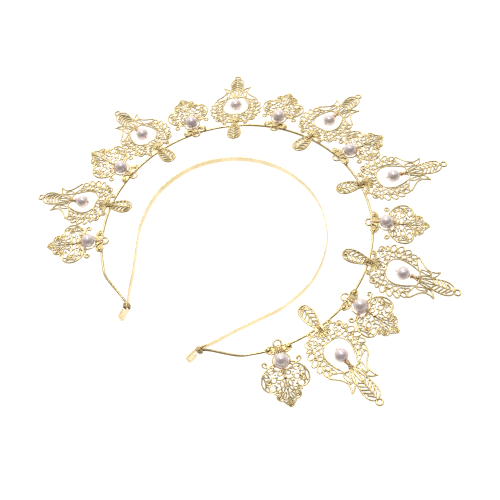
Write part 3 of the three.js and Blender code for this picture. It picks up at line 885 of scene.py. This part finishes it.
copper = gilt(
    "copper_wire",
    [(0.84, 0.53, 0.32), (0.90, 0.62, 0.40), (0.95, 0.70, 0.48)],
    cloud_scale=260,
    roughness=(0.16, 0.3),
    bump=0.01,
)


def coil(line_at, turns, per_turn, radius_at):
    """A coil wound round a line; line_at gives (centre, side, up) for a share of its run."""
    points = []
    for step in range(turns * per_turn + 1):
        share = step / (turns * per_turn)
        turn = 2 * math.pi * step / per_turn
        centre, side, up = line_at(share)
        radius = radius_at(share)
        points.append(centre + side * radius * math.cos(turn) + up * radius * math.sin(turn))
    return points


def with_ball(mesh, place, size, flat):
    """The wire with a flattened ball at one place."""
    work = bmesh.new()
    work.from_mesh(mesh)
    bmesh.ops.create_uvsphere(
        work, u_segments=14, v_segments=10, radius=size,
        matrix=Matrix.Translation(place) @ Matrix.Diagonal((1, flat, 1, 1)),
    )
    work.to_mesh(mesh)
    work.free()
    return mesh


def large_pin():
    curve = round_wire("pin", 8)
    rise = LARGE_PEARL[2]
    foot = LARGE_PEARL[1] - PEARL_RADIUS - 0.3
    path = [
        (0, foot - 0.3, rise), (0, LARGE_PEARL[1], rise), (0, 26.2, rise),
        (0, 28.4, 0.75), (0, 30.8, 1.1), (0, 32.2, 0.9), (0, 33, 0), (0, 32.2, -0.65), (0, 30.6, -0.7),
    ]
    add_line(curve, smooth_line(path, 4), COPPER_RADIUS)
    across, up = Vector((1, 0, 0)), Vector((0, 0, 1))
    cone = coil(
        lambda share: (Vector((0, 26.45 + 2.5 * share, rise + 0.3 * share)), across, up),
        5, 14, lambda share: 1.75 - 0.95 * share,
    )
    add_line(curve, cone, CONE_WIRE_RADIUS)
    return with_ball(mesh_of_curve(curve), (0, foot - 0.35, rise), HEAD_RADIUS, 0.45)


def small_thread():
    curve = round_wire("thread", 8)
    rise = SMALL_PEARL[2]
    path = [
        (0, 0.9, -2.4), (0, 0, -2.9), (0, -1, -2.4), (0, -1.7, -1.3), (0, -1.6, -0.1),
        (0, -1.2, 0.8), (0, 0.5, 1.15), (0, 2.4, 1.35), (0, 3.6, 1.85),
        (0, SMALL_PEARL[1], rise), (0, 12.6, rise - 0.1), (0, 13.9, 0.8), (0, 14.6, -0.1), (0, 13.7, -0.6),
    ]
    add_line(curve, smooth_line(path, 4), COPPER_RADIUS)

    def arch(share):
        turn = math.radians(ARCH_HALF) * (2 * share - 1)
        outward = Vector((math.sin(turn), math.cos(turn), 0))
        middle = Vector((0, SMALL_PEARL[1], ARCH_HEIGHT))
        return middle + outward * ARCH_RADIUS, outward, Vector((0, 0, 1))

    add_line(curve, coil(arch, 22, 9, lambda _: ARCH_COIL_RADIUS), ARCH_WIRE_RADIUS)
    return mesh_of_curve(curve)


pin_shape = large_pin()
thread_shape = small_thread()
for station in range(len(SHIFT)):
    size, piece = ("large", "pin") if station % 2 else ("small", "thread")
    number = station // 2 + 1
    wire_mesh = (pin_shape if station % 2 else thread_shape).copy()
    wire_mesh.transform(plate_place(station))
    node = f"{size}_pearl_wire_{number}"
    show(f"{size}_{piece}_{number}", wire_mesh, "crown", node, copper)

# ---- Large bindings ----------------------------------------------------------------------
# Gilt copper wire again, wound round each large plate and the ring wire under it, where the
# inner leaf meets the wings, and drawn tight.
BINDING_TURNS = 3
BINDING_PITCH = 0.72


def binding_shape():
    curve = round_wire("binding", 8)
    out = (-2.3, 2.3)
    up = (-2.95, 0.95)
    line = [
        (along - BINDING_PITCH * BINDING_TURNS / 2, y, z)
        for along, y, z in winding(BINDING_TURNS, 16, BINDING_PITCH, out, up)
    ]
    add_line(curve, smooth_line(line, 2), BINDING_RADIUS)
    return mesh_of_curve(curve)


tie_shape = binding_shape()
for number in range(1, 8):
    tie_mesh = tie_shape.copy()
    tie_mesh.transform(plate_place(2 * number - 1))
    node = f"large_binding_{number}"
    show(f"large_tie_{number}", tie_mesh, "crown", node, gilt_copper)

for shape in (large_work, small_work, pearl, pin_shape, thread_shape, tie_shape):
    bpy.data.meshes.remove(shape)

# ---- Setting -----------------------------------------------------------------------------
# The crown lies face up on a pale floor that gives off some light of its own. The surround
# is bright behind and above and dim on the near side, with a broad light overhead and two
# smaller softboxes that show in the pearls.
FLOOR_HALF = 80
FLOOR_GLOW = 0.78
TOWARD_LIGHT = (-0.62, 0.62, 0.48)
SURROUND_STRENGTH = 1.25
CAMERA_LENS = 68.64
SENSOR_WIDTH = 36
floor_work = bmesh.new()
bmesh.ops.create_grid(floor_work, x_segments=2, y_segments=2, size=FLOOR_HALF)
floor_mesh = bpy.data.meshes.new("floor")
floor_work.to_mesh(floor_mesh)
floor_work.free()
floor = bpy.data.objects.new("floor", floor_mesh)
bpy.context.scene.collection.objects.link(floor)

pale = bpy.data.materials.new("pale_floor")
pale.use_nodes = True
pale_shader = pale.node_tree.nodes["Principled BSDF"]
pale_shader.inputs["Roughness"].default_value = 0.7
pale_shader.inputs["Specular IOR Level"].default_value = 0.2
pale_shader.inputs["Emission Color"].default_value = (1, 1, 1, 1)
pale_shader.inputs["Emission Strength"].default_value = FLOOR_GLOW
speckle = pale.node_tree.nodes.new("ShaderNodeTexNoise")
speckle.inputs["Scale"].default_value = 60
pale_tone = pale.node_tree.nodes.new("ShaderNodeValToRGB")
pale_tone.color_ramp.elements[0].color = (0.68, 0.68, 0.68, 1)
pale_tone.color_ramp.elements[1].color = (0.72, 0.72, 0.72, 1)
pale.node_tree.links.new(speckle.outputs["Fac"], pale_tone.inputs["Fac"])
pale.node_tree.links.new(pale_tone.outputs["Color"], pale_shader.inputs["Base Color"])
floor_mesh.materials.append(pale)

world = bpy.data.worlds.new("studio")
bpy.context.scene.world = world
world.use_nodes = True
surround = world.node_tree.nodes["Background"]
outlook = world.node_tree.nodes.new("ShaderNodeTexCoord")
toward_light = world.node_tree.nodes.new("ShaderNodeVectorMath")
toward_light.operation = "DOT_PRODUCT"
toward_light.inputs[1].default_value = TOWARD_LIGHT
brightness = world.node_tree.nodes.new("ShaderNodeValToRGB")
brightness.color_ramp.elements[0].position = 0.1
brightness.color_ramp.elements[0].color = (0.05, 0.04, 0.03, 1)
brightness.color_ramp.elements[1].position = 0.95
brightness.color_ramp.elements[1].color = (1, 1, 1, 1)
world.node_tree.links.new(outlook.outputs["Generated"], toward_light.inputs[0])
world.node_tree.links.new(toward_light.outputs["Value"], brightness.inputs["Fac"])
world.node_tree.links.new(brightness.outputs["Color"], surround.inputs["Color"])
surround.inputs["Strength"].default_value = SURROUND_STRENGTH


def softbox(name, place, size, power):
    """A square light that faces the middle of the crown."""
    data = bpy.data.lights.new(name, "AREA")
    data.size = size
    data.energy = power
    lamp = bpy.data.objects.new(name, data)
    lamp.location = place
    lamp.rotation_euler = (-Vector(place)).to_track_quat("-Z", "Y").to_euler()
    bpy.context.scene.collection.objects.link(lamp)


softbox("overhead", (-0.1, 0.1, 1.6), 0.42, 4.6)
softbox("left_box", (-0.7, 0.5, 1.2), 0.25, 1.6)
softbox("right_box", (0.5, 0.4, 1.3), 0.2, 0.8)

CAMERA_RIGHT = Vector((0.8155, 0.5691, -0.1059))
CAMERA_UP = Vector((-0.4416, 0.7299, 0.5217))
CAMERA_BACK = Vector((0.3742, -0.3786, 0.8466))
CAMERA_FROM_RING = Vector((2.7645, -2.6866, 5.8469)) * RING_RADIUS * MM
camera_data = bpy.data.cameras.new("camera")
camera_data.lens = CAMERA_LENS
camera_data.sensor_width = SENSOR_WIDTH
camera = bpy.data.objects.new("camera", camera_data)
turn = Matrix((CAMERA_RIGHT, CAMERA_UP, CAMERA_BACK)).transposed()
camera.matrix_world = Matrix.Translation(ring_centre + CAMERA_FROM_RING) @ turn.to_4x4()
bpy.context.scene.collection.objects.link(camera)
bpy.context.scene.camera = camera
bpy.context.scene.view_settings.view_transform = "Standard"
